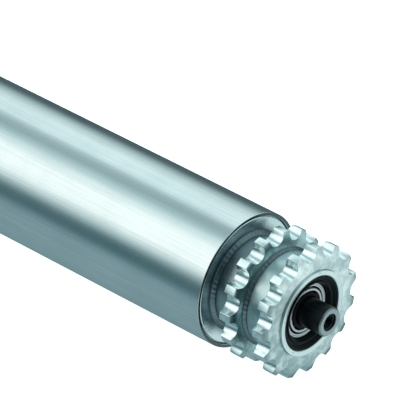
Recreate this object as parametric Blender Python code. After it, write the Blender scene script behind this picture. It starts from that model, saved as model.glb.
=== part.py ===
"""A chain-driven conveyor roller for heavy unit loads, built as the separate pieces that it is made of.

A steel tube turns on two deep-groove ball bearings around a fixed axle with a tapped hole in each end. At the
drive end the tube carries a hub with two 15-tooth sprockets, for two loops of 5/8 inch roller chain.

Frame: metres, +Z up, the axle's centreline along X, the drive end at +X, the origin in the axle's middle.
The sizes below are in millimetres, and mm() turns them into metres.
"""

import math

import bmesh
import bpy
from mathutils import Matrix, Vector

# ---- Driving dimensions, in millimetres ------------------------------------------------------------------

FIT_GAP = 0.3  # between pieces that touch or are pressed together

TUBE_RADIUS = 40.0
TUBE_WALL = 2.0
TUBE_LENGTH = 430.0
TUBE_CHAMFER = 0.5

AXLE_RADIUS = 8.5
AXLE_LENGTH = 500.0
AXLE_PROJECTION = 59.7  # from the tube's drive end to the axle's end
AXLE_CHAMFER = 0.8
TAPPED_RADIUS = 4.25  # the minor radius of an M10 thread
TAPPED_DEPTH = 25.0
TAPPED_MOUTH_RADIUS = 5.3
DRILL_POINT_DEPTH = 2.5
AXLE_GROOVE_WIDTH = 1.8
AXLE_GROOVE_DEPTH = 0.6

BOSS_RADIUS = 25.2  # the hub where it carries the outer sprocket
SLEEVE_RADIUS = 27.4  # the hub from there back, under the inner sprocket and through the end disc
HUB_PROJECTION = 47.3  # from the tube's drive end to the hub's face
HUB_PAST_DISC = 1.5  # how far the drive hub reaches behind its end disc
HUB_MOUTH_CHAMFER = 0.5
HUB_NOSE_CHAMFER = 0.7
IDLE_PROJECTION = 1.5  # as HUB_PROJECTION, at the idle end
IDLE_HUB_LENGTH = 28.0
DISC_RECESS = 0.8  # how far an end disc sits inside the tube's mouth
DISC_THICKNESS = 5.0
DISC_RIM_LENGTH = 18.0
DISC_RIM_WALL = 4.0
DISC_CHAMFER = 0.8

CHAIN_PITCH = 15.875
CHAIN_ROLLER_DIAMETER = 10.16
TEETH = 15
FIRST_TOOTH_ANGLE = 6.9  # degrees, from +Y towards +Z
TIP_RADIUS = 39.0  # turned down, so that no tooth stands above the tube
TOOTH_WIDTH = 9.1
FLANK_SWEEP = 10  # degrees of each flank's arc, which ends just outside the tips
SIDE_RELIEF = 1.15  # how much each side of a tooth falls away at its tip
OUTER_ROW_FACE = 46.05  # outward face of each sprocket, from the tube's end
INNER_ROW_FACE = 22.35

BEARING_OUTER_RADIUS = 20.0
BEARING_WIDTH = 12.0
OUTER_LAND_RADIUS = 16.9
INNER_LAND_RADIUS = 11.6
BALL_RADIUS = 3.37
BALL_PITCH_RADIUS = 14.25
BALL_COUNT = 8
RACEWAY_GAP = 0.28
RACE_CORNER = 0.7
SHIELD_THICKNESS = 0.6
SHIELD_INSET = 0.5  # from a bearing's side to the middle of its shield
CAGE_WIDTH = 8.8
CAGE_INNER_RADIUS = 12.8
CAGE_OUTER_RADIUS = 15.6

SEAL_SEAT_RADIUS = 22.1
SEAL_SEAT_DEPTH = 5.6
BEARING_DEPTH = 9.3  # from the hub's face to the bearing
CLIP_GROOVE_RADIUS = 21.25
CLIP_GROOVE_START = 7.2
HOUSING_RING_THICKNESS = 1.5
AXLE_RING_THICKNESS = 1.0
PLIER_HOLE_RADIUS = 0.9

ROUND_STEPS = 40  # round a large turned piece
SMALL_STEPS = 24  # round a small one
RELIEF_STEPS = 2  # in the curve of a sprocket's side towards its rim
ARC_STEPS = 3  # in each arc of a tooth's side

DRIVE_RIM_X = AXLE_LENGTH / 2 - AXLE_PROJECTION
IDLE_RIM_X = DRIVE_RIM_X - TUBE_LENGTH
DRIVE_FACE_X = DRIVE_RIM_X + HUB_PROJECTION
IDLE_FACE_X = IDLE_RIM_X - IDLE_PROJECTION


def mm(value):
    return value / 1000.0


# ---- Materials -------------------------------------------------------------------------------------------


def finish(name, colour, roughness, metallic):
    material = bpy.data.materials.new(name)
    material.use_nodes = True
    shader = material.node_tree.nodes["Principled BSDF"]
    shader.inputs["Base Color"].default_value = (*colour, 1.0)
    shader.inputs["Roughness"].default_value = roughness
    shader.inputs["Metallic"].default_value = metallic
    material.diffuse_color = (*colour, 1.0)
    return material


def make_finishes():
    return {
        "zinc": finish("zinc_plated_tube", (0.62, 0.69, 0.70), 0.34, 1.0),
        "sprocket": finish("zinc_plated_sprocket", (0.70, 0.75, 0.76), 0.40, 1.0),
        "black_steel": finish("black_oxide_steel", (0.03, 0.033, 0.037), 0.42, 0.8),
        "bearing": finish("bearing_steel", (0.66, 0.67, 0.68), 0.18, 1.0),
        "seal": finish("black_polyamide", (0.012, 0.013, 0.015), 0.45, 0.0),
        "cage": finish("cage_polyamide", (0.16, 0.20, 0.15), 0.50, 0.0),
        "spring": finish("spring_steel", (0.10, 0.10, 0.11), 0.35, 0.9),
    }


# ---- Ways of making a piece ------------------------------------------------------------------------------


def add_object(name, mesh, material):
    """A named object in the scene, smooth on its round faces and sharp at its corners."""
    mesh.materials.append(material)
    mesh.shade_smooth()
    mesh.set_sharp_from_angle(angle=math.radians(35))
    piece = bpy.data.objects.new(name, mesh)
    bpy.context.scene.collection.objects.link(piece)
    return piece


def finish_mesh(name, work):
    bmesh.ops.remove_doubles(work, verts=work.verts, dist=1e-7)
    bmesh.ops.recalc_face_normals(work, faces=work.faces)
    mesh = bpy.data.meshes.new(name)
    work.to_mesh(mesh)
    work.free()
    return mesh


def turned_mesh(name, outline, steps):
    """A mesh turned about X from (x, radius) points: a closed loop, or a line from axis to axis."""
    work = bmesh.new()
    points = [work.verts.new((mm(x), 0.0, mm(radius))) for x, radius in outline]
    ring = outline[0][1] > 0.0
    ends = points[1:] + points[:1] if ring else points[1:]
    edges = [work.edges.new(pair) for pair in zip(points, ends)]
    bmesh.ops.spin(
        work, geom=points + edges, cent=(0, 0, 0), axis=(1, 0, 0),
        angle=2 * math.pi, steps=steps, use_merge=True,
    )
    return finish_mesh(name, work)


def turned(name, outline, steps, material):
    return add_object(name, turned_mesh(name, outline, steps), material)


def plate_mesh(name, outline, x_low, x_high):
    """A flat plate: a closed (y, z) outline carried from one x to another."""
    work = bmesh.new()
    corners = [work.verts.new((mm(x_low), mm(y), mm(z))) for y, z in outline]
    face = work.faces.new(corners)
    moved = bmesh.ops.extrude_face_region(work, geom=[face])["geom"]
    raised = [part for part in moved if isinstance(part, bmesh.types.BMVert)]
    bmesh.ops.translate(work, verts=raised, vec=(mm(x_high - x_low), 0, 0))
    return finish_mesh(name, work)


def arc(centre, radius, start, end, count):
    """Points along an arc, with its angles in degrees."""
    angles = [math.radians(start + (end - start) * i / count) for i in range(count + 1)]
    return [(centre[0] + radius * math.cos(a), centre[1] + radius * math.sin(a)) for a in angles]


def cut(piece, operation, name, mesh):
    """A Boolean of the piece with a hidden cutter."""
    cutter = bpy.data.objects.new(name, mesh)
    bpy.context.scene.collection.objects.link(cutter)
    cutter.hide_render = True
    cutter.display_type = "WIRE"
    modifier = piece.modifiers.new(name, "BOOLEAN")
    modifier.operation = operation
    modifier.solver = "EXACT"
    modifier.object = cutter


# ---- Tube and axle ---------------------------------------------------------------------------------------


def make_tube(finishes):
    inner = TUBE_RADIUS - TUBE_WALL
    low, high, edge = IDLE_RIM_X, DRIVE_RIM_X, TUBE_CHAMFER
    outline = [
        (low, inner + edge), (low, TUBE_RADIUS - edge), (low + edge, TUBE_RADIUS),
        (high - edge, TUBE_RADIUS), (high, TUBE_RADIUS - edge), (high, inner + edge),
        (high - edge, inner), (low + edge, inner),
    ]
    turned("roller_tube", outline, ROUND_STEPS, finishes["zinc"])


def clip_groove(face_x, outward):
    """The axle's groove for a retaining ring, just inboard of a bearing, as (x, radius) points."""
    start = BEARING_DEPTH + BEARING_WIDTH
    floor = AXLE_RADIUS - AXLE_GROOVE_DEPTH
    near, far = face_x - outward * start, face_x - outward * (start + AXLE_GROOVE_WIDTH)
    return [(near, AXLE_RADIUS), (near, floor), (far, floor), (far, AXLE_RADIUS)]


def tapped_end(outward):
    """One end of the axle from the drill point out to the edge, as (x, radius) points."""
    end = outward * AXLE_LENGTH / 2
    mouth = TAPPED_MOUTH_RADIUS - TAPPED_RADIUS
    return [
        (end - outward * (TAPPED_DEPTH + DRILL_POINT_DEPTH), 0.0),
        (end - outward * TAPPED_DEPTH, TAPPED_RADIUS),
        (end - outward * mouth, TAPPED_RADIUS),
        (end, TAPPED_MOUTH_RADIUS),
        (end, AXLE_RADIUS - AXLE_CHAMFER),
        (end - outward * AXLE_CHAMFER, AXLE_RADIUS),
    ]


def make_axle(finishes):
    drive_side = tapped_end(1) + clip_groove(DRIVE_FACE_X, 1)
    idle_side = tapped_end(-1) + clip_groove(IDLE_FACE_X, -1)
    outline = drive_side + idle_side[::-1]
    turned("axle", outline, SMALL_STEPS, finishes["black_steel"])


# ---- Hubs and end discs ----------------------------------------------------------------------------------


def bearing_seat(at):
    """A hub's bore from its face inboard: seal seat, retaining ring groove, bearing seat and shoulder."""
    seat = BEARING_OUTER_RADIUS + FIT_GAP
    shoulder = BEARING_DEPTH + BEARING_WIDTH + FIT_GAP
    return [
        (at(0.0), SEAL_SEAT_RADIUS + HUB_MOUTH_CHAMFER), (at(HUB_MOUTH_CHAMFER), SEAL_SEAT_RADIUS),
        (at(SEAL_SEAT_DEPTH), SEAL_SEAT_RADIUS), (at(SEAL_SEAT_DEPTH), seat),
        (at(CLIP_GROOVE_START), seat), (at(CLIP_GROOVE_START), CLIP_GROOVE_RADIUS),
        (at(BEARING_DEPTH), CLIP_GROOVE_RADIUS), (at(BEARING_DEPTH), seat),
        (at(shoulder), seat), (at(shoulder), OUTER_LAND_RADIUS),
    ]


def make_hub(name, face_x, outward, length, step_depth, finishes):
    """The turned sleeve that holds a bearing and its seal, thicker from step_depth to its inboard end."""

    def at(depth):
        return face_x - outward * depth

    outline = bearing_seat(at) + [
        (at(length), OUTER_LAND_RADIUS), (at(length), SLEEVE_RADIUS),
        (at(step_depth), SLEEVE_RADIUS), (at(step_depth), BOSS_RADIUS),
        (at(HUB_NOSE_CHAMFER), BOSS_RADIUS), (at(0.0), BOSS_RADIUS - HUB_NOSE_CHAMFER),
    ]
    turned(name, outline, ROUND_STEPS, finishes["sprocket"])


def make_end_disc(name, rim_x, outward, finishes):
    """The disc pressed into the tube's mouth, with a rim that stands against the tube's inner wall."""
    outer = TUBE_RADIUS - TUBE_WALL - FIT_GAP
    bore = SLEEVE_RADIUS + FIT_GAP
    face = rim_x - outward * DISC_RECESS
    back = face - outward * DISC_THICKNESS
    rim_end = face - outward * DISC_RIM_LENGTH
    outline = [
        (face, bore), (face, outer - DISC_CHAMFER), (face - outward * DISC_CHAMFER, outer),
        (rim_end, outer), (rim_end, outer - DISC_RIM_WALL), (back, outer - DISC_RIM_WALL), (back, bore),
    ]
    turned(name, outline, ROUND_STEPS, finishes["sprocket"])


# ---- Sprockets -------------------------------------------------------------------------------------------


def tooth_space():
    """Half of the space between two teeth as (radial, sideways) points, from its bottom out past the tips.

    The seat is an arc around the chain's roller, and the flank is a larger arc that bends the other way.
    """
    pitch_radius = CHAIN_PITCH / (2 * math.sin(math.pi / TEETH))
    seat = 0.505 * CHAIN_ROLLER_DIAMETER
    flank = 0.12 * CHAIN_ROLLER_DIAMETER * (TEETH + 2)
    half_seat = (140 - 90 / TEETH) / 2
    points = arc((pitch_radius, 0.0), seat, 180, 180 - half_seat, ARC_STEPS)
    away = math.radians(180 - half_seat)
    centre = (pitch_radius + (seat + flank) * math.cos(away), (seat + flank) * math.sin(away))
    toward = math.degrees(away) + 180
    return points + arc(centre, flank, toward, toward + FLANK_SWEEP, ARC_STEPS)[1:]


def toothed_outline():
    """The outline of all teeth, as (y, z) points. It runs past the tips, which the blank's rim ends."""
    half = tooth_space()
    outline = []
    for tooth in range(TEETH):
        turn = math.radians(FIRST_TOOTH_ANGLE + 360 * (tooth + 0.5) / TEETH)
        space = [(r, -s) for r, s in half[:0:-1]] + half
        for radial, sideways in space:
            y = radial * math.cos(turn) - sideways * math.sin(turn)
            z = radial * math.sin(turn) + sideways * math.cos(turn)
            outline.append((y, z))
    return outline


def sprocket_blank(face_x, bore):
    """The turned blank: a ring whose sides curve in towards the rim with a radius of one chain pitch."""
    back_x = face_x - TOOTH_WIDTH
    sweep = math.acos(1 - SIDE_RELIEF / CHAIN_PITCH)
    start = TIP_RADIUS - CHAIN_PITCH * math.sin(sweep)
    relief = []
    for i in range(RELIEF_STEPS + 1):
        angle = sweep * i / RELIEF_STEPS
        relief.append((CHAIN_PITCH * (1 - math.cos(angle)), start + CHAIN_PITCH * math.sin(angle)))
    front = [(face_x - fall, radius) for fall, radius in relief]
    rear = [(back_x + fall, radius) for fall, radius in relief[::-1]]
    return [(face_x, bore)] + front + rear + [(back_x, bore)]


def make_sprocket(name, face_x, seat_radius, finishes):
    blank = sprocket_blank(face_x, seat_radius + FIT_GAP)
    sprocket = turned(name, blank, ROUND_STEPS, finishes["sprocket"])
    teeth = plate_mesh(name + "_teeth", toothed_outline(), face_x - TOOTH_WIDTH - 2, face_x + 2)
    cut(sprocket, "INTERSECT", name + "_teeth", teeth)


# ---- Bearings --------------------------------------------------------------------------------------------


def raceway(centre_x, outer):
    """A ball groove's arc across a race, as (x, radius) points from low x to high x."""
    radius = BALL_RADIUS + RACEWAY_GAP
    land = OUTER_LAND_RADIUS if outer else INNER_LAND_RADIUS
    half = math.degrees(math.acos(abs(land - BALL_PITCH_RADIUS) / radius))
    middle = 90 if outer else -90
    side = 1 if outer else -1
    return arc((centre_x, BALL_PITCH_RADIUS), radius, middle + side * half, middle - side * half, 4)


def make_bearing(prefix, face_x, outward, finishes):
    near = face_x - outward * BEARING_DEPTH
    centre = near - outward * BEARING_WIDTH / 2
    low, high = centre - BEARING_WIDTH / 2, centre + BEARING_WIDTH / 2
    outer, corner = BEARING_OUTER_RADIUS, RACE_CORNER
    outer_race = raceway(centre, True) + [
        (high, OUTER_LAND_RADIUS), (high, outer - corner), (high - corner, outer),
        (low + corner, outer), (low, outer - corner), (low, OUTER_LAND_RADIUS),
    ]
    bore = AXLE_RADIUS + FIT_GAP
    inner_race = raceway(centre, False) + [
        (high, INNER_LAND_RADIUS), (high, bore), (low, bore), (low, INNER_LAND_RADIUS),
    ]
    turned(prefix + "_bearing_outer_race", outer_race, SMALL_STEPS, finishes["bearing"])
    turned(prefix + "_bearing_inner_race", inner_race, SMALL_STEPS, finishes["bearing"])
    for side, place in (("outer", outward), ("inner", -outward)):
        middle = centre + place * (BEARING_WIDTH / 2 - SHIELD_INSET)
        make_shield(f"{prefix}_bearing_{side}_shield", middle, finishes)
    make_cage(prefix, centre, finishes)
    make_balls(prefix, centre, finishes)


def plain_ring(low, high, inner, outer):
    return [(low, inner), (high, inner), (high, outer), (low, outer)]


def make_shield(name, middle_x, finishes):
    half = SHIELD_THICKNESS / 2
    inner, outer = INNER_LAND_RADIUS + 0.4, OUTER_LAND_RADIUS - FIT_GAP
    outline = plain_ring(middle_x - half, middle_x + half, inner, outer)
    turned(name, outline, SMALL_STEPS, finishes["bearing"])


def ball_angle(index):
    return 2 * math.pi * index / BALL_COUNT


def make_cage(prefix, centre_x, finishes):
    """A polyamide ring with one round pocket for each ball."""
    half, inner, outer = CAGE_WIDTH / 2, CAGE_INNER_RADIUS, CAGE_OUTER_RADIUS
    outline = plain_ring(centre_x - half, centre_x + half, inner, outer)
    name = prefix + "_bearing_cage"
    cage = turned(name, outline, SMALL_STEPS, finishes["cage"])
    pockets = bmesh.new()
    pocket = mm(BALL_RADIUS + FIT_GAP)
    for index in range(BALL_COUNT):
        place = Matrix.Rotation(ball_angle(index), 4, "X") @ Matrix.Translation((0, 0, mm(BALL_PITCH_RADIUS)))
        bmesh.ops.create_cone(
            pockets, cap_ends=True, segments=12, radius1=pocket, radius2=pocket, depth=mm(8.0),
            matrix=Matrix.Translation((mm(centre_x), 0, 0)) @ place,
        )
    cut(cage, "DIFFERENCE", name + "_pockets", finish_mesh(name + "_pockets", pockets))


def make_balls(prefix, centre_x, finishes):
    for index in range(BALL_COUNT):
        name = f"{prefix}_bearing_ball_{index + 1}"
        work = bmesh.new()
        bmesh.ops.create_icosphere(work, subdivisions=2, radius=mm(BALL_RADIUS))
        ball = add_object(name, finish_mesh(name, work), finishes["bearing"])
        offset = Vector((0, 0, mm(BALL_PITCH_RADIUS)))
        offset.rotate(Matrix.Rotation(ball_angle(index), 3, "X"))
        ball.location = Vector((mm(centre_x), 0, 0)) + offset


# ---- Retaining rings and seals ---------------------------------------------------------------------------


def ring_outline(inner, outer, opening, lug_reach, lug_angle):
    """An open ring with a lug at each end of its opening, which is at the bottom, as (y, z) points.

    lug_reach is the radius that the lugs go to: inside the ring, or outside it.
    """
    start, end = -90 + opening / 2, 270 - opening / 2
    near, far = (inner, outer) if lug_reach < inner else (outer, inner)
    plain = arc((0, 0), far, start, end, SMALL_STEPS)
    lug_last = arc((0, 0), lug_reach, end, end - lug_angle, 2)
    back = arc((0, 0), near, end - lug_angle, start + lug_angle, SMALL_STEPS - 4)
    lug_first = arc((0, 0), lug_reach, start + lug_angle, start, 2)
    return plain + lug_last + back + lug_first


def make_retaining_ring(name, outline, middle_x, thickness, hole_radius, hole_angle, finishes):
    """A retaining ring with a round plier hole in each lug."""
    low, high = middle_x - thickness / 2, middle_x + thickness / 2
    ring = add_object(name, plate_mesh(name, outline, low, high), finishes["spring"])
    holes = bmesh.new()
    for side in (-1, 1):
        turn = math.radians(-90 + side * hole_angle)
        place = (mm(middle_x), mm(hole_radius * math.cos(turn)), mm(hole_radius * math.sin(turn)))
        bmesh.ops.create_cone(
            holes, cap_ends=True, segments=10, radius1=mm(PLIER_HOLE_RADIUS), radius2=mm(PLIER_HOLE_RADIUS),
            depth=mm(6.0), matrix=Matrix.Translation(place) @ Matrix.Rotation(math.pi / 2, 4, "Y"),
        )
    cut(ring, "DIFFERENCE", name + "_holes", finish_mesh(name + "_holes", holes))


def make_retaining_rings(prefix, face_x, outward, finishes):
    """One ring in the hub's bore holds the bearing, and one on the axle stops it moving out."""
    housing = ring_outline(18.5, CLIP_GROOVE_RADIUS - FIT_GAP, opening=24, lug_reach=15.6, lug_angle=12)
    groove_middle = (CLIP_GROOVE_START + BEARING_DEPTH) / 2
    make_retaining_ring(
        prefix + "_housing_retaining_ring", housing, face_x - outward * groove_middle,
        HOUSING_RING_THICKNESS, 17.2, 18, finishes,
    )
    inner = AXLE_RADIUS - AXLE_GROOVE_DEPTH + FIT_GAP
    shaft = ring_outline(inner, 10.4, opening=30, lug_reach=13.4, lug_angle=19)
    behind = BEARING_DEPTH + BEARING_WIDTH + AXLE_GROOVE_WIDTH / 2
    make_retaining_ring(
        prefix + "_axle_retaining_ring", shaft, face_x - outward * behind,
        AXLE_RING_THICKNESS, 11.8, 25, finishes,
    )


def make_seals(prefix, face_x, outward, finishes):
    """The labyrinth in front of a bearing: two rings turn with the hub, and two stand on the axle."""

    def at(depth):
        return face_x - outward * depth

    outer = SEAL_SEAT_RADIUS - FIT_GAP
    seal = [
        (at(0.6), outer), (at(0.6), 20.6), (at(2.2), 20.1), (at(2.2), 18.6),
        (at(1.5), 18.2), (at(1.5), 17.5), (at(3.6), 16.5), (at(5.3), 16.5), (at(5.3), outer),
    ]
    turned(prefix + "_outer_seal", seal, SMALL_STEPS, finishes["seal"])
    cover = [
        (at(4.9), 16.2), (at(4.6), 15.9), (at(4.6), 15.2), (at(5.0), 14.9), (at(5.0), 14.1),
        (at(5.8), 14.1), (at(5.8), 16.2),
    ]
    turned(prefix + "_seal_cover", cover, SMALL_STEPS, finishes["bearing"])
    washer = [
        (at(4.9), 13.1), (at(4.5), 12.8), (at(4.5), 11.8), (at(4.9), 11.5), (at(6.2), 11.5), (at(6.2), 13.1),
    ]
    turned(prefix + "_labyrinth_ring", washer, SMALL_STEPS, finishes["bearing"])
    inner = [
        (at(4.2), AXLE_RADIUS + FIT_GAP), (at(4.2), 10.2), (at(4.6), 10.6), (at(8.8), 10.6),
        (at(8.8), AXLE_RADIUS + FIT_GAP),
    ]
    turned(prefix + "_inner_seal", inner, SMALL_STEPS, finishes["seal"])


# ---- The whole roller ------------------------------------------------------------------------------------


def clear_scene():
    for old in list(bpy.data.objects):
        bpy.data.objects.remove(old, do_unlink=True)


def build_roller():
    clear_scene()
    finishes = make_finishes()
    make_tube(finishes)
    make_axle(finishes)
    outer_row_step = HUB_PROJECTION - OUTER_ROW_FACE + TOOTH_WIDTH + FIT_GAP
    drive_length = HUB_PROJECTION + DISC_RECESS + DISC_THICKNESS + HUB_PAST_DISC
    idle_step = IDLE_PROJECTION + DISC_RECESS - FIT_GAP
    make_hub("drive_hub", DRIVE_FACE_X, 1, drive_length, outer_row_step, finishes)
    make_hub("idle_hub", IDLE_FACE_X, -1, IDLE_HUB_LENGTH, idle_step, finishes)
    make_end_disc("drive_end_disc", DRIVE_RIM_X, 1, finishes)
    make_end_disc("idle_end_disc", IDLE_RIM_X, -1, finishes)
    make_sprocket("outer_sprocket", DRIVE_RIM_X + OUTER_ROW_FACE, BOSS_RADIUS, finishes)
    make_sprocket("inner_sprocket", DRIVE_RIM_X + INNER_ROW_FACE, SLEEVE_RADIUS, finishes)
    for prefix, face_x, outward in (("drive", DRIVE_FACE_X, 1), ("idle", IDLE_FACE_X, -1)):
        make_bearing(prefix, face_x, outward, finishes)
        make_retaining_rings(prefix, face_x, outward, finishes)
        make_seals(prefix, face_x, outward, finishes)


build_roller()
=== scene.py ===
"""A chain-driven conveyor roller: its finishes and fine shapes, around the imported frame.

The roller lies along X with its drive end at +X. Lengths are in metres, and mm() turns millimetres
into them. The sections follow the roller as it is put together: axle, hubs, end discs, sprockets,
welds, bearings, seals and tube, and then the studio that it stands in.
"""

import math

import bmesh
import bpy
from mathutils import Matrix, Vector


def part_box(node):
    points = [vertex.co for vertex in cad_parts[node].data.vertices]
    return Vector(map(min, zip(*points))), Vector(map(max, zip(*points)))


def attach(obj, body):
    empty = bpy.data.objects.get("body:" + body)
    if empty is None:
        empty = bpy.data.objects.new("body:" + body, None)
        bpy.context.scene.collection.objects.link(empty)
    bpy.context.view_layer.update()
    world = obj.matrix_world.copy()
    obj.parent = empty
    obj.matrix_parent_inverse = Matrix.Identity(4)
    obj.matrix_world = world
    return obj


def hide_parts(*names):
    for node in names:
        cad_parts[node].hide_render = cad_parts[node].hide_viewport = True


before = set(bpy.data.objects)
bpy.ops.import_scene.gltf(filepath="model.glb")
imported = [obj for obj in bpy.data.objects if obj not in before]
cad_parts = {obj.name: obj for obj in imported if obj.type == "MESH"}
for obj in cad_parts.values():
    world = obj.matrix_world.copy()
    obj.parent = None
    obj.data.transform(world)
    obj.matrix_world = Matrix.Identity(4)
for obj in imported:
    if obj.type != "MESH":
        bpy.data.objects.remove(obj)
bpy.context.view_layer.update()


# ---- Axle --------------------------------------------------------------------------------------
# A fixed bar of bright-drawn steel, blackened, 17 mm across. Both ends are faced, chamfered and
# drilled, and tapped M10 for the screws that clamp it between the conveyor's side frames.


def mm(value):
    return value / 1000.0


def close_up(work):
    """Merges a mesh's doubles and points its faces outwards."""
    bmesh.ops.remove_doubles(work, verts=work.verts, dist=1e-7)
    bmesh.ops.recalc_face_normals(work, faces=work.faces)


def show(name, work, finish, corner=30):
    """Makes a finished piece of a bmesh: smooth on its round faces, sharp at its edges.

    An edge is sharp where its faces meet at more than corner degrees. The end_on attribute is 1 on
    faces that face along the roller, and 0 on those that face straight out from its centreline.
    """
    work.normal_update()
    end_on = work.faces.layers.float.new("end_on")
    for face in work.faces:
        face[end_on] = abs(face.normal.x)
    mesh = bpy.data.meshes.new(name)
    work.to_mesh(mesh)
    work.free()
    mesh.materials.append(finish)
    mesh.shade_smooth()
    mesh.set_sharp_from_angle(angle=math.radians(corner))
    piece = bpy.data.objects.new(name, mesh)
    bpy.context.scene.collection.objects.link(piece)
    return piece


def eased(outline, radius, closed, steps=4):
    """The outline with each corner turned into an arc of that radius, or less if it has no room.

    A bend so slight that it can't be seen is left as it is.
    """
    slight = math.radians(172)
    room = 0.45
    points = [Vector(point) for point in outline]
    last = len(points) - 1
    result = []
    for i, corner in enumerate(points):
        if not closed and i in (0, last):
            result.append(tuple(corner))
            continue
        before, after = points[i - 1] - corner, points[(i + 1) % len(points)] - corner
        bend = before.angle(after)
        if bend > slight:
            result.append(tuple(corner))
            continue
        reach = min(radius / math.tan(bend / 2), before.length * room, after.length * room)
        start = corner + before.normalized() * reach
        end = corner + after.normalized() * reach
        for step in range(steps + 1):
            t = step / steps
            blend = start * (1 - t) ** 2 + corner * 2 * t * (1 - t) + end * t ** 2
            result.append(tuple(blend))
    return result


def turned(outline, steps):
    """A mesh turned about X from (x, radius) points: a closed loop, or a line from axis to axis."""
    work = bmesh.new()
    points = [work.verts.new((x, 0, radius)) for x, radius in outline]
    is_ring = min(radius for x, radius in outline) > 0
    ends = points[1:] + points[:1] if is_ring else points[1:]
    edges = [work.edges.new(pair) for pair in zip(points, ends)]
    bmesh.ops.spin(
        work, geom=points + edges, cent=(0, 0, 0), axis=(1, 0, 0),
        angle=2 * math.pi, steps=steps, use_merge=True,
    )
    close_up(work)
    return work


class Signal:
    """A value that varies over a surface: the output socket of a shader node."""

    def __init__(self, tree, socket):
        self.tree = tree
        self.socket = socket

    def node(self, kind, values, output=0, stops=None, **settings):
        """Adds a node, sets it up, gives its sockets values or links, and returns an output."""
        made = self.tree.nodes.new(kind)
        for name, value in settings.items():
            setattr(made, name, value)
        if stops:
            elements = made.color_ramp.elements
            while len(elements) < len(stops):
                elements.new(1.0)
            for element, (position, colour) in zip(elements, stops):
                element.position = position
                element.color = (*colour, 1.0)
        for key, value in values.items():
            if isinstance(value, Signal):
                self.tree.links.new(value.socket, made.inputs[key])
            else:
                made.inputs[key].default_value = value
        return Signal(self.tree, made.outputs[output])

    def maths(self, operation, *others):
        return self.node("ShaderNodeMath", dict(enumerate((self, *others))), operation=operation)

    def __add__(self, other):
        return self.maths("ADD", other)

    __radd__ = __add__

    def __mul__(self, other):
        return self.maths("MULTIPLY", other)

    __rmul__ = __mul__

    def __sub__(self, other):
        return self.maths("SUBTRACT", other)

    def __rsub__(self, other):
        return self.node("ShaderNodeMath", {0: other, 1: self}, operation="SUBTRACT")

    def axis(self, index):
        """The x, y or z of this place or direction."""
        return self.node("ShaderNodeSeparateXYZ", {0: self}, output=index)

    def between(self, low, high):
        """0 below low and 1 above high, with a soft change between them."""
        values = {"Value": self, "From Min": low, "From Max": high}
        return self.node("ShaderNodeMapRange", values, interpolation_type="SMOOTHSTEP")

    def mix(self, first, second):
        """The first colour where this is 0, and the second where it is 1."""
        values = {0: self, 6: first, 7: second}
        return self.node("ShaderNodeMix", values, output=2, data_type="RGBA")

    def stretched(self, x, y, z):
        """These coordinates with each axis scaled, so that a pattern gets finer along it."""
        values = {0: self, 1: (x, y, z)}
        return self.node("ShaderNodeVectorMath", values, operation="MULTIPLY")

    def noise(self, scale, detail=3.0, roughness=0.5):
        values = {"Vector": self, "Scale": scale, "Detail": detail, "Roughness": roughness}
        return self.node("ShaderNodeTexNoise", values)


class Finish:
    """A material with a Principled shader, whose even values are set directly on its sockets."""

    def __init__(self, name, metallic, roughness, **values):
        self.material = bpy.data.materials.new(name)
        self.material.use_nodes = True
        self.tree = self.material.node_tree
        self.shader = self.tree.nodes["Principled BSDF"]
        self.shader.inputs["Metallic"].default_value = metallic
        self.shader.inputs["Roughness"].default_value = roughness
        for name, value in values.items():
            self.shader.inputs[name.replace("_", " ")].default_value = value
        coordinates = self.tree.nodes.new("ShaderNodeTexCoord")
        self.place = Signal(self.tree, coordinates.outputs["Object"])

    def away(self):
        """The distance from the roller's centreline."""
        y, z = self.place.axis(1), self.place.axis(2)
        return (y * y + z * z).maths("SQRT")

    def end_on(self):
        """A mask of the faces that are square to the centreline, from the end_on attribute."""
        facing = self.place.node("ShaderNodeAttribute", {}, output="Fac", attribute_name="end_on")
        return facing.between(0.5, 0.9)

    def set(self, socket, signal):
        self.tree.links.new(signal.socket, self.shader.inputs[socket])

    def bump(self, height, depth):
        """Raises the surface by up to depth metres where the height signal is 1."""
        values = {"Height": height, "Distance": depth, "Strength": 1.0}
        self.set("Normal", height.node("ShaderNodeBump", values))


axle_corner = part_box("axle")[1]
axle_end, axle_radius = axle_corner.x, axle_corner.z
END_CHAMFER = mm(0.8)
TAP_RADIUS = mm(5.0)
TAP_CORE_RADIUS = mm(4.25)
TAP_DEPTH = mm(25)
TAP_PITCH = mm(1.5)
TAP_MOUTH = mm(0.3)
TAP_RUN_OUT = mm(4)
DRILL_POINT = mm(2.5)
CLIP_GROOVE_DEPTH = mm(0.6)
CLIP_GROOVE_START = mm(21.3)
CLIP_GROOVE_END = mm(23.1)
THREAD_START = mm(1.0)
THREAD_TURNS = 12
THREAD_STEPS = 32


def axle_finish():
    steel = Finish("blackened_axle_steel", metallic=0.9, roughness=0.38)
    drawn = steel.place.stretched(12, 900, 900).noise(1.0, 4.0, 0.6)
    worn = steel.place.noise(140.0, 3.0, 0.6).between(0.62, 0.75)
    blackened = (drawn * 0.5 + worn * 0.4).mix((0.008, 0.011, 0.013, 1), (0.05, 0.06, 0.065, 1))
    faced = (drawn * 0.4 + worn * 0.6).mix((0.36, 0.43, 0.45, 1), (0.22, 0.28, 0.30, 1))
    last_bit = steel.place.axis(0).maths("ABSOLUTE").between(axle_end - mm(1), axle_end - mm(0.7))
    at_end = steel.end_on() * last_bit
    steel.set("Base Color", at_end.mix(blackened, faced))
    steel.set("Roughness", drawn * 0.2 + at_end * 0.15 + 0.25)
    rings = (steel.away() * 14000.0).maths("SINE") * 0.5 + 0.5
    steel.bump(drawn * (1 - at_end) + rings * at_end, 0.000012)
    return steel.material


axle_steel = axle_finish()


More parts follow.
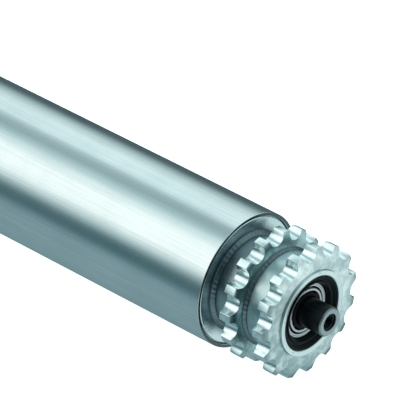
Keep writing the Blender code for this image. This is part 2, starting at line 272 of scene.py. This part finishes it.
def half_axle(hub_face):
    """The section of half the axle, from the bottom of its tapped hole, as (x, radius) points.

    It goes out of the hole, round the end and back to the circlip groove behind the hub's face.
    """
    thread_end = TAP_RUN_OUT - TAP_DEPTH
    hole = [(-TAP_DEPTH - DRILL_POINT, 0), (-TAP_DEPTH, TAP_CORE_RADIUS)]
    hole += [(thread_end, TAP_CORE_RADIUS)]
    mouth = [(thread_end, TAP_RADIUS), (-TAP_MOUTH, TAP_RADIUS), (0, TAP_RADIUS + TAP_MOUTH)]
    end = [(0, axle_radius - END_CHAMFER), (-END_CHAMFER, axle_radius)]
    floor = axle_radius - CLIP_GROOVE_DEPTH
    groove = [(CLIP_GROOVE_START, axle_radius), (CLIP_GROOVE_START, floor)]
    groove += [(CLIP_GROOVE_END, floor), (CLIP_GROOVE_END, axle_radius)]
    end_part = [(axle_end + x, radius) for x, radius in hole + mouth + end]
    return end_part + [(hub_face - depth, radius) for depth, radius in groove]


drive_half = half_axle(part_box("drive_hub")[1].x)
idle_half = half_axle(-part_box("idle_hub")[0].x)
outline = drive_half + [(-x, radius) for x, radius in idle_half[::-1]]
axle = show("axle_bar", turned(eased(outline, mm(0.15), closed=False), 96), axle_steel)
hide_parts("axle")
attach(axle, "axle_group")


def thread(end_x, outward):
    """The ridge of an M10 thread that winds down a tapped hole, closed at both ends."""
    work = bmesh.new()
    start = end_x - outward * THREAD_START
    foot, crest = TAP_RADIUS + mm(0.04), TAP_CORE_RADIUS
    profile = [(-0.46, foot), (-0.07, crest), (0.07, crest), (0.46, foot)]
    points = [work.verts.new((start + TAP_PITCH * along, 0, radius)) for along, radius in profile]
    cap = work.faces.new(points)
    bmesh.ops.spin(
        work, geom=[cap, *cap.edges, *points], cent=(0, 0, 0), axis=(1, 0, 0),
        angle=2 * math.pi * THREAD_TURNS, steps=THREAD_STEPS * THREAD_TURNS,
        dvec=(-outward * TAP_PITCH / THREAD_STEPS, 0, 0),
    )
    close_up(work)
    return work


for side, outward in (("drive", 1), ("idle", -1)):
    ridge = show(side + "_tapped_thread", thread(outward * axle_end, outward), axle_steel)
    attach(ridge, "axle_group")


# ---- Hubs --------------------------------------------------------------------------------------
# Steel sleeves turned from bar and zinc plated. Each is fixed in an end disc and holds a bearing and
# its seal. The drive hub is the longer one, because it also carries the two sprockets.

HUB_RADIUS = mm(27.4)
DISC_JOINT = mm(190)  # from the roller's middle to where the drive hub meets its end disc


def zinc_steel_finish(name, light, faced, dark, roughness, ring_depth):
    """Zinc-plated steel that was turned on a lathe: fine rings, soft clouds and small dull spots.

    The light colour becomes the faced one on ends that were dressed flat. Painted shade darkens the
    plating round the joint between the drive hub and its end disc, and at the same place at the idle
    end, where the recess lies in shade.
    """
    zinc = Finish(name, metallic=1.0, roughness=roughness)
    # A mask that is 0 in the painted shade round the joint between hub and end disc, and 1 beyond
    # it.
    from_joint = zinc.place.axis(0).maths("ABSOLUTE") - DISC_JOINT
    outside_painted_shade = (from_joint * 0.6 + zinc.away() * 1.2).between(mm(34), mm(42))
    ring_strength = zinc.place.noise(160.0, 2.0, 0.5)
    rings = ((zinc.away() + zinc.place.axis(0)) * 16000.0).maths("SINE") * ring_strength
    chatter = zinc.place.noise(900.0, 2.0, 0.6)
    clouds = zinc.place.noise(45.0, 4.0, 0.6)
    spots = zinc.place.noise(260.0, 2.0, 0.5).between(0.66, 0.74)
    plated = (clouds * 0.7 + spots * 0.35).mix(zinc.end_on().mix(light, faced), dark)
    # The dark colour here is painted shade round the joint between hub and end disc.
    zinc.set("Base Color", (outside_painted_shade + clouds * 0.1).mix((0.20, 0.27, 0.31, 1), plated))
    zinc.set("Roughness", clouds * 0.16 + spots * 0.15 + (roughness - 0.08))
    zinc.bump(rings * ring_depth + chatter * 0.00001, 1.0)
    return zinc.material


def hub_outline(face_x, outward, length, step_depth):
    """The hub's section as (x, radius) points: in along its bore, and back along its outside.

    Its parts are written in millimetres, as depths behind the hub's face and radii.
    """
    sleeve = HUB_RADIUS * 1000
    seal_seat = [(0.5, 22.1), (5.6, 22.1), (5.6, 20.3)]
    clip_groove = [(7.2, 20.3), (7.2, 21.25), (9.3, 21.25), (9.3, 20.3)]
    bearing_seat = [(21.6, 20.3), (21.6, 16.9), (length, 16.9)]
    outside = [(length, sleeve), (step_depth, sleeve), (step_depth, 25.2), (0.0, 25.2), (0.0, 22.6)]
    section = seal_seat + clip_groove + bearing_seat + outside
    return [(face_x - outward * mm(depth), mm(radius)) for depth, radius in section]


hub_zinc = zinc_steel_finish(
    "zinc_turned_hub", light=(0.58, 0.68, 0.69, 1), faced=(0.84, 0.90, 0.90, 1),
    dark=(0.38, 0.49, 0.50, 1), roughness=0.3, ring_depth=0.00001,
)
# Each hub's length, and how far behind its face it steps up to its full radius, in millimetres.
hubs = (("drive_hub", "drive_sleeve", 1, 54.6, 10.65), ("idle_hub", "idle_sleeve", -1, 28.0, 2.0))
for node, name, outward, length, step_depth in hubs:
    low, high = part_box(node)
    face_x = high.x if outward > 0 else low.x
    outline = eased(hub_outline(face_x, outward, length, step_depth), mm(0.2), closed=True)
    hub = show(name, turned(outline, 128), hub_zinc)
    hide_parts(node)
    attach(hub, "roller_group")


# ---- End discs ---------------------------------------------------------------------------------
# A thick steel disc with a rim, turned and zinc plated, pressed into each end of the tube. Its face
# lies just inside the tube's mouth.

DISC_THICKNESS = mm(5)
DISC_CHAMFER = mm(0.8)
RIM_LENGTH = mm(18)
RIM_WALL = mm(4)
disc_bore = HUB_RADIUS + mm(0.3)
disc_zinc = zinc_steel_finish(
    "zinc_turned_disc", light=(0.66, 0.75, 0.76, 1), faced=(0.66, 0.75, 0.76, 1),
    dark=(0.46, 0.55, 0.57, 1), roughness=0.22, ring_depth=0.00001,
)
discs = (("drive_end_disc", "drive_disc", 1), ("idle_end_disc", "idle_disc", -1))
for node, name, outward in discs:
    low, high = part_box(node)
    face_x = high.x if outward > 0 else low.x
    outer = high.z
    rim_inner = outer - RIM_WALL
    face = [(0, disc_bore), (0, outer - DISC_CHAMFER), (DISC_CHAMFER, outer)]
    rim = [(RIM_LENGTH, outer), (RIM_LENGTH, rim_inner)]
    back = [(DISC_THICKNESS, rim_inner), (DISC_THICKNESS, disc_bore)]
    outline = [(face_x - outward * depth, radius) for depth, radius in face + rim + back]
    disc = show(name, turned(eased(outline, mm(0.3), closed=True), 128), disc_zinc)
    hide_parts(node)
    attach(disc, "roller_group")


# ---- Sprockets ---------------------------------------------------------------------------------
# Two steel sprockets of 15 teeth for 5/8 inch chain, welded to the drive hub with their teeth in
# line. The teeth are hobbed, their sides are dressed back towards the tips, and all is zinc plated.

CHAIN_PITCH = mm(15.875)
CHAIN_ROLLER = mm(10.16)
TEETH = 15
FIRST_TOOTH = math.radians(6.9)
TIP_RADIUS = mm(39)
SIDE_RELIEF = mm(1.15)
BORE_BEVEL = mm(0.1)
TOOTH_BEVEL = mm(0.28)


def around(centre, radius, start, end, steps):
    """Points along an arc, with its angles in radians."""
    angles = [start + (end - start) * step / steps for step in range(steps + 1)]
    return [centre + radius * Vector((math.cos(a), math.sin(a))) for a in angles]


def tooth_side():
    """Half of a tooth space as (radial, sideways) points, from its bottom to the tooth's tip.

    The seat is an arc round the chain's roller. The flank is larger and bends the other way.
    """
    pitch_radius = CHAIN_PITCH / (2 * math.sin(math.pi / TEETH))
    seat = 0.505 * CHAIN_ROLLER
    flank = 0.12 * CHAIN_ROLLER * (TEETH + 2)
    away = math.radians(110 + 45 / TEETH)
    roller = Vector((pitch_radius, 0))
    centre = roller + (seat + flank) * Vector((math.cos(away), math.sin(away)))
    reach = (TIP_RADIUS ** 2 - centre.length_squared - flank ** 2) / (2 * centre.length * flank)
    at_tip = math.atan2(centre.y, centre.x) - math.acos(reach)
    flank_points = around(centre, flank, away - math.pi, at_tip, 4)
    return around(roller, seat, math.pi, away, 10) + flank_points[1:]


def tooth_outline():
    """All round the teeth as (y, z) points, with the corners of each tip rounded off."""
    half = tooth_side()
    space = [Vector((point.x, -point.y)) for point in half[:0:-1]] + half
    outline = []
    for tooth in range(TEETH):
        turn = Matrix.Rotation(FIRST_TOOTH + 2 * math.pi * (tooth + 0.5) / TEETH, 2)
        outline += [turn @ point for point in space]
    return eased(outline, mm(0.9), closed=True)


def sprocket(low, high, bore):
    """A toothed plate: its outline bridged to its bore, thickened, and dressed back at the tips."""
    work = bmesh.new()
    rim = [work.verts.new((high.x, y, z)) for y, z in tooth_outline()]
    inner = [work.verts.new((high.x, *(Vector(v.co.yz).normalized() * bore))) for v in rim]
    loops = []
    for ring in (rim, inner):
        loops += [work.edges.new(pair) for pair in zip(ring, ring[1:] + ring[:1])]
    bmesh.ops.bridge_loops(work, edges=loops)
    spokes = [edge for edge in work.edges if edge not in loops and len(edge.link_faces) == 2]
    bmesh.ops.subdivide_edges(work, edges=spokes, cuts=9, use_grid_fill=True)
    moved = bmesh.ops.extrude_face_region(work, geom=work.faces[:])["geom"]
    back = [part for part in moved if isinstance(part, bmesh.types.BMVert)]
    bmesh.ops.translate(work, verts=back, vec=(low.x - high.x, 0, 0))
    close_up(work)
    for is_bore, width in ((True, BORE_BEVEL), (False, TOOTH_BEVEL)):
        borders = [e for e in work.edges if e.calc_face_angle(0) > math.radians(60)]
        borders = [e for e in borders if (e.verts[0].co.yz.length < bore + mm(1)) == is_bore]
        bmesh.ops.bevel(
            work, geom=borders, offset=width, segments=2, profile=0.5, affect="EDGES",
            material=-1, clamp_overlap=True,
        )
    middle, half = (low.x + high.x) / 2, (high.x - low.x) / 2
    start = TIP_RADIUS - CHAIN_PITCH * math.sin(math.acos(1 - SIDE_RELIEF / CHAIN_PITCH))
    for vert in work.verts:
        beyond = max(vert.co.yz.length - start, 0)
        fall = CHAIN_PITCH - math.sqrt(CHAIN_PITCH ** 2 - beyond ** 2)
        vert.co.x = middle + (vert.co.x - middle) * (half - fall) / half
    return work


def sprocket_finish(name, light, dark, face_roughness):
    """Zinc plate on dressed steel: faces mottled in two colours, bright teeth, and painted shade
    on the faces near the tips.

    The faces carry painted light too: lighter on the upper side, as the light falls, and darker on
    the lower side as painted shade. The painted shade near the tips is weakest on the lighter side.
    """
    zinc = Finish(name, metallic=1.0, roughness=face_roughness)
    mottle = zinc.place.noise(170.0, 5.0, 0.65).between(0.36, 0.64)
    fine = zinc.place.noise(900.0, 3.0, 0.6)
    clouds = zinc.place.noise(38.0, 3.0, 0.5).between(0.38, 0.62)
    end_on = zinc.end_on()
    at_tips = zinc.away().between(mm(33), mm(38)) * end_on
    toothed = mottle.mix((0.96, 1.0, 1.0, 1), (0.76, 0.86, 0.86, 1))
    # Painted light and shade: the face tone gets lighter on the upper side and darker on the lower
    # side.
    toward_painted_light = zinc.place.axis(1) * 0.5 + zinc.place.axis(2) * 0.87
    painted_light_side = toward_painted_light.between(-mm(8), mm(18))
    tone = mottle * 0.45 + clouds * 0.25 + (1 - painted_light_side) * 0.4
    plated = end_on.mix(toothed, tone.mix(light, dark))
    # Painted shade on the faces near the tips, weaker on the upper, lighter side.
    painted_tip_shade = at_tips * (fine * 0.4 + clouds * 0.3 + 0.35) * (1 - painted_light_side * 0.75)
    zinc.set("Base Color", painted_tip_shade.mix(plated, (0.20, 0.25, 0.26, 1)))
    tooth_roughness = 0.22
    face_part = end_on * (face_roughness - tooth_roughness)
    zinc.set("Roughness", face_part + mottle * 0.1 + fine * 0.08 + (tooth_roughness - 0.06))
    zinc.bump(mottle * 0.3 + fine, 0.000015)
    return zinc.material


outer_zinc = sprocket_finish(
    "zinc_sprocket_outer", light=(0.96, 1.0, 1.0, 1), dark=(0.36, 0.47, 0.48, 1),
    face_roughness=0.42,
)
# The inner sprocket's face colours are darker than the outer's: painted shade, where it lies between
# the outer sprocket and the end disc.
inner_zinc_in_painted_shade = sprocket_finish(
    "zinc_sprocket_inner_painted_shade", light=(0.48, 0.64, 0.66, 1), dark=(0.18, 0.29, 0.31, 1),
    face_roughness=0.26,
)
sprockets = (
    ("outer_sprocket", "outer_tooth_ring", mm(25.3), outer_zinc),
    ("inner_sprocket", "inner_tooth_ring", mm(27.7), inner_zinc_in_painted_shade),
)
for node, name, bore, finish in sprockets:
    low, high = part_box(node)
    ring = show(name, sprocket(low, high, bore), finish)
    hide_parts(node)
    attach(ring, "roller_group")


# ---- Welds -------------------------------------------------------------------------------------
# Fillet welds join the drive hub to the end disc and to both sprockets. Each is a ring with the
# fine ripples that the welder's weave leaves, plated over with the rest.

RIPPLES = 64
RIPPLE_SLANT = 500
RIPPLE_HEIGHT = mm(0.28)


def weld_bead(corner_x, radius, outward, leg):
    """A rippled ring in the corner between a flat face at corner_x and a hub of that radius.

    It bites a little into both, so that no gap shows under it.
    """
    bite = -0.04
    slope = [(0.0, 1.0), (0.3, 0.75), (0.5, 0.5), (0.75, 0.3), (1.0, 0.0)]
    profile = [(bite, bite), (bite, 1.0)] + slope + [(1.0, bite)]
    outline = [(corner_x + outward * leg * along, radius + leg * out) for along, out in profile]
    work = turned(outline, 288)
    for vert in work.verts:
        rise = vert.co.yz.length - radius
        if rise > leg * 0.1 and abs(vert.co.x - corner_x) > leg * 0.1:
            phase = RIPPLES * math.atan2(vert.co.z, vert.co.y) + RIPPLE_SLANT * rise
            ripple = 0.5 + 0.5 * math.sin(phase)
            vert.co.yz *= 1 + RIPPLE_HEIGHT * ripple / radius
    close_up(work)
    return work


def weld_finish():
    weld = Finish("zinc_over_weld", metallic=1.0, roughness=0.4)
    spatter = weld.place.noise(420.0, 4.0, 0.7)
    tint = weld.place.noise(70.0, 3.0, 0.6)
    shade = tint * 0.6 + spatter * 0.5
    weld.set("Base Color", shade.mix((0.24, 0.32, 0.34, 1), (0.05, 0.08, 0.10, 1)))
    weld.set("Roughness", spatter * 0.3 + 0.25)
    weld.bump(spatter, 0.00008)
    return weld.material


weld_zinc = weld_finish()
# Each bead's name, the face that it runs along, the way it spreads, and its leg in millimetres.
welds = (
    ("disc_weld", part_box("drive_end_disc")[1].x, 1, 2.6),
    ("inner_sprocket_back_weld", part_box("inner_sprocket")[0].x, -1, 1.8),
    ("inner_sprocket_front_weld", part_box("inner_sprocket")[1].x, 1, 1.8),
    ("outer_sprocket_back_weld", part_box("outer_sprocket")[0].x, -1, 1.8),
)
for name, corner_x, outward, leg in welds:
    bead = show(name, weld_bead(corner_x, HUB_RADIUS, outward, mm(leg)), weld_zinc, corner=50)
    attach(bead, "roller_group")


# ---- Bearings ----------------------------------------------------------------------------------
# Deep-groove ball bearings, 17 x 40 x 12 mm, held by circlips of spring steel. The races and balls
# are ground and polished, the cage is moulded, and a pressed steel shield closes each side.


def bright_steel_finish(name, colour, roughness):
    """Bright steel with the fine marks around it that grinding or pressing leaves."""
    smeared = tuple(channel * 0.72 for channel in colour[:3]) + (1,)
    steel = Finish(name, metallic=1.0, roughness=roughness)
    rings = (steel.away() * 26000.0).noise(1.0, 2.0, 0.6)
    smears = steel.place.noise(120.0, 3.0, 0.6)
    steel.set("Base Color", (smears * 0.8).mix(colour, smeared))
    steel.set("Roughness", rings * 0.12 + smears * 0.1 + (roughness - 0.06))
    steel.bump(rings, 0.000004)
    return steel.material


def cage_finish():
    plastic = Finish("cage_polyamide", metallic=0.0, roughness=0.5)
    grain = plastic.place.noise(1500.0, 2.0, 0.6)
    clouds = plastic.place.noise(90.0, 3.0, 0.5)
    plastic.set("Base Color", clouds.mix((0.10, 0.13, 0.10, 1), (0.17, 0.20, 0.15, 1)))
    plastic.set("Roughness", grain * 0.2 + 0.4)
    plastic.bump(grain, 0.00001)
    return plastic.material


def spring_steel_finish():
    spring = Finish("phosphated_spring_steel", metallic=0.9, roughness=0.42)
    mottle = spring.place.noise(320.0, 4.0, 0.65)
    spring.set("Base Color", mottle.mix((0.05, 0.052, 0.055, 1), (0.15, 0.15, 0.155, 1)))
    spring.set("Roughness", mottle * 0.3 + 0.28)
    spring.bump(mottle, 0.000008)
    return spring.material


bearing_steel = bright_steel_finish("polished_bearing_steel", (0.72, 0.73, 0.74, 1), 0.16)
cage_plastic = cage_finish()
spring_steel = spring_steel_finish()
for name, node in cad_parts.items():
    if "race" in name or "ball" in name or "shield" in name:
        node.data.materials.clear()
        node.data.materials.append(bearing_steel)
    if "cage" in name:
        node.data.materials.clear()
        node.data.materials.append(cage_plastic)
    if "retaining_ring" in name:
        node.data.materials.clear()
        node.data.materials.append(spring_steel)


# ---- Seals -------------------------------------------------------------------------------------
# A labyrinth in front of each bearing. A moulded black ring and a pressed steel cover turn with the
# hub, while a steel ring and a rubber lip stand still on the axle.


def black_moulding_finish():
    plastic = Finish("black_polyamide", metallic=0.0, roughness=0.4, Specular_IOR_Level=0.1)
    grain = plastic.place.noise(1100.0, 3.0, 0.6)
    dust = plastic.place.noise(60.0, 4.0, 0.6).between(0.5, 0.8)
    plastic.set("Base Color", dust.mix((0.001, 0.003, 0.004, 1), (0.006, 0.013, 0.016, 1)))
    plastic.set("Roughness", grain * 0.2 + dust * 0.2 + 0.28)
    plastic.bump(grain, 0.00002)
    return plastic.material


def rubber_finish():
    rubber = Finish("nitrile_rubber", metallic=0.0, roughness=0.6, Specular_IOR_Level=0.1)
    grain = rubber.place.noise(1600.0, 2.0, 0.6)
    rubber.set("Base Color", grain.mix((0.002, 0.002, 0.003, 1), (0.007, 0.007, 0.008, 1)))
    rubber.set("Roughness", grain * 0.2 + 0.5)
    rubber.bump(grain, 0.00002)
    return rubber.material


black_moulding = black_moulding_finish()
seal_rubber = rubber_finish()
cover_steel = bright_steel_finish("pressed_cover_steel", (0.55, 0.58, 0.62, 1), 0.3)
# The sections are in millimetres, as depths behind the hub's face and radii.
OUTER_SEAL = [
    (0.6, 21.8), (0.6, 20.9), (1.2, 20.7), (1.2, 20.3), (1.8, 20.1), (1.8, 19.7), (2.4, 19.5),
    (2.4, 18.6), (1.6, 18.2), (1.6, 17.5), (3.6, 16.5), (5.3, 16.5), (5.3, 21.8),
]
SEAL_COVER = [
    (4.9, 16.2), (4.6, 15.9), (4.6, 15.2), (5.0, 14.9), (5.0, 14.1), (5.8, 14.1), (5.8, 16.2),
]
LABYRINTH_RING = [(4.9, 13.1), (4.5, 12.8), (4.5, 11.8), (4.9, 11.5), (6.2, 11.5), (6.2, 13.1)]
INNER_SEAL = [(4.2, 8.8), (4.2, 10.2), (4.6, 10.6), (8.8, 10.6), (8.8, 8.8)]
seal_kinds = (
    ("outer_seal", "seal_ring", OUTER_SEAL, black_moulding, "seal_black", "roller_group"),
    ("seal_cover", "cover_washer", SEAL_COVER, cover_steel, "seal_steel", "roller_group"),
    ("labyrinth_ring", "axle_washer", LABYRINTH_RING, cover_steel, "seal_steel", "axle_group"),
    ("inner_seal", "axle_lip", INNER_SEAL, seal_rubber, "rubber_lip", "axle_group"),
)
for side, outward in (("drive", 1), ("idle", -1)):
    low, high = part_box(side + "_hub")
    face_x = high.x if outward > 0 else low.x
    for node, name, profile, finish, slot, body in seal_kinds:
        outline = [(face_x - outward * mm(depth), mm(radius)) for depth, radius in profile]
        seal = show(f"{side}_{name}", turned(eased(outline, mm(0.2), closed=True), 96), finish)
        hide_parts(f"{side}_{node}")
        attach(seal, body)


# ---- Tube --------------------------------------------------------------------------------------
# Welded and drawn steel tube, 80 mm across with a 2 mm wall, zinc plated and then cut. Drawing
# leaves fine lines along it. Its cut ends are coloured near black as painted shade, and rounded
# where they were deburred.

TUBE_WALL = mm(2)


def tube_finish():
    zinc = Finish("zinc_drawn_tube", metallic=1.0, roughness=0.3)
    drawn = zinc.place.stretched(14, 900, 900).noise(1.0, 5.0, 0.7)
    faint = zinc.place.stretched(3, 160, 160).noise(1.0, 3.0, 0.6)
    clouds = zinc.place.noise(28.0, 5.0, 0.6)
    rubbed = zinc.place.stretched(60, 240, 240).noise(1.0, 3.0, 0.7).between(0.66, 0.78)
    tone = (drawn * 0.45 + clouds * 0.3 + faint * 0.25).between(0.25, 0.75)
    plated = tone.mix((0.87, 0.89, 0.89, 1), (0.67, 0.70, 0.71, 1))
    # Painted shade: the cut ends of the tube are coloured near black.
    zinc.set("Base Color", zinc.end_on().mix(plated, (0.07, 0.10, 0.11, 1)))
    zinc.set("Roughness", clouds * 0.1 + drawn * 0.1 + rubbed * 0.08 + 0.14)
    zinc.bump(drawn * 0.6 + faint * 0.8 + clouds, 0.000012)
    return zinc.material


low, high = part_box("roller_tube")
tube_radius = high.z
tube_bore = tube_radius - TUBE_WALL
outline = [(low.x, tube_bore), (low.x, tube_radius), (high.x, tube_radius), (high.x, tube_bore)]
tube = show("drawn_tube", turned(eased(outline, mm(0.6), closed=True, steps=6), 192), tube_finish())
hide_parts("roller_tube")
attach(tube, "roller_group")


# ---- Studio ------------------------------------------------------------------------------------
# A pale floor under the roller, a camera that looks down on the drive end, and soft light from all
# round, with darker stretches that give the plated steel its bands. The backdrop is white.


def pale_floor(height):
    """A wide sheet of glowing paper at that height, which the steel doesn't mirror."""
    paper = Finish(
        "studio_paper", metallic=0.0, roughness=0.9, Emission_Color=(0.97, 1, 1, 1),
        Emission_Strength=0.85,
    )
    fibres = paper.place.noise(900.0, 3.0, 0.6)
    paper.set("Base Color", fibres.mix((0.86, 0.88, 0.88, 1), (0.9, 0.92, 0.92, 1)))
    work = bmesh.new()
    bmesh.ops.create_grid(work, x_segments=1, y_segments=1, size=30)
    bmesh.ops.translate(work, verts=work.verts, vec=(0, 0, height))
    floor = show("studio_floor", work, paper.material)
    floor.visible_glossy = False


def studio_world():
    """Light that depends on the direction around X, which a tube along X mirrors as bands.

    Towards the roller's drive end it is even instead, with one dark corner. The bands are given as
    degrees around X, with 0 level and in front of the roller and 90 straight up.
    """
    world = bpy.data.worlds.new("studio")
    world.use_nodes = True
    tree = world.node_tree
    coordinates = tree.nodes.new("ShaderNodeTexCoord")
    toward = Signal(tree, coordinates.outputs["Generated"])
    x, y, z = (toward.axis(i) for i in range(3))
    round_x = z.maths("ARCTAN2", 0 - y) * (1 / (2 * math.pi)) + 0.5
    bands = (
        (-180, (0.05, 0.09, 0.10)),
        (-140, (0.06, 0.11, 0.12)),
        (-112, (0.20, 0.33, 0.36)),
        (-45, (0.25, 0.38, 0.42)),
        (-26, (0.23, 0.37, 0.41)),
        (-13, (0.05, 0.13, 0.15)),
        (3, (0.05, 0.13, 0.15)),
        (15, (0.55, 0.74, 0.76)),
        (28, (1.15, 1.28, 1.25)),
        (56, (1.15, 1.28, 1.25)),
        (68, (0.95, 1.12, 1.12)),
        (80, (0.52, 0.74, 0.76)),
        (91, (0.28, 0.42, 0.44)),
        (102, (0.30, 0.44, 0.46)),
        (114, (0.80, 1.02, 1.04)),
        (136, (0.82, 1.04, 1.04)),
        (150, (0.66, 0.84, 0.84)),
        (164, (0.32, 0.46, 0.48)),
        (176, (0.05, 0.09, 0.10)),
        (180, (0.05, 0.09, 0.10)),
    )
    stops = [(degrees / 360 + 0.5, colour) for degrees, colour in bands]
    banded = round_x.node("ShaderNodeValToRGB", {0: round_x}, stops=stops)
    end_on = x.between(0.1, 0.45)
    dark_corner = z.between(-0.3, 0.0) * (1 - y.between(-0.3, 0.2))
    beyond = dark_corner.mix((0.84, 1.02, 1.02, 1), (0.04, 0.08, 0.09, 1))
    seen = end_on.node("ShaderNodeLightPath", {}, output="Is Camera Ray")
    light = seen.mix(end_on.mix(banded, beyond), (1, 1, 1, 1))
    tree.links.new(light.socket, tree.nodes["Background"].inputs["Color"])
    bpy.context.scene.world = world


def look(at, right_by, up_by, azimuth, elevation, distance, lens):
    """A camera that looks a little to the right of a point, and a little above it.

    Azimuth 0 looks along +Y and 90 along -X. Both angles are in degrees.
    """
    turn, rise = math.radians(azimuth), math.radians(elevation)
    away = Vector((math.sin(turn), -math.cos(turn), 0))
    back = away * math.cos(rise) + Vector((0, 0, math.sin(rise)))
    right = Vector((math.cos(turn), math.sin(turn), 0))
    data = bpy.data.cameras.new("camera")
    data.lens = lens
    data.sensor_width = 36
    data.clip_start = 0.1
    camera = bpy.data.objects.new("camera", data)
    camera.location = at + right * right_by + back.cross(right) * up_by + back * distance
    camera.rotation_euler = (-back).to_track_quat("-Z", "Y").to_euler()
    bpy.context.scene.collection.objects.link(camera)
    bpy.context.scene.camera = camera


look(
    at=Vector((high.x, 0, 0)), right_by=-0.6451 * tube_radius, up_by=1.0970 * tube_radius,
    azimuth=42.24, elevation=33.44, distance=58.92 * tube_radius, lens=388.4,
)
pale_floor(low.z)
studio_world()
bpy.context.scene.view_settings.view_transform = "Standard"
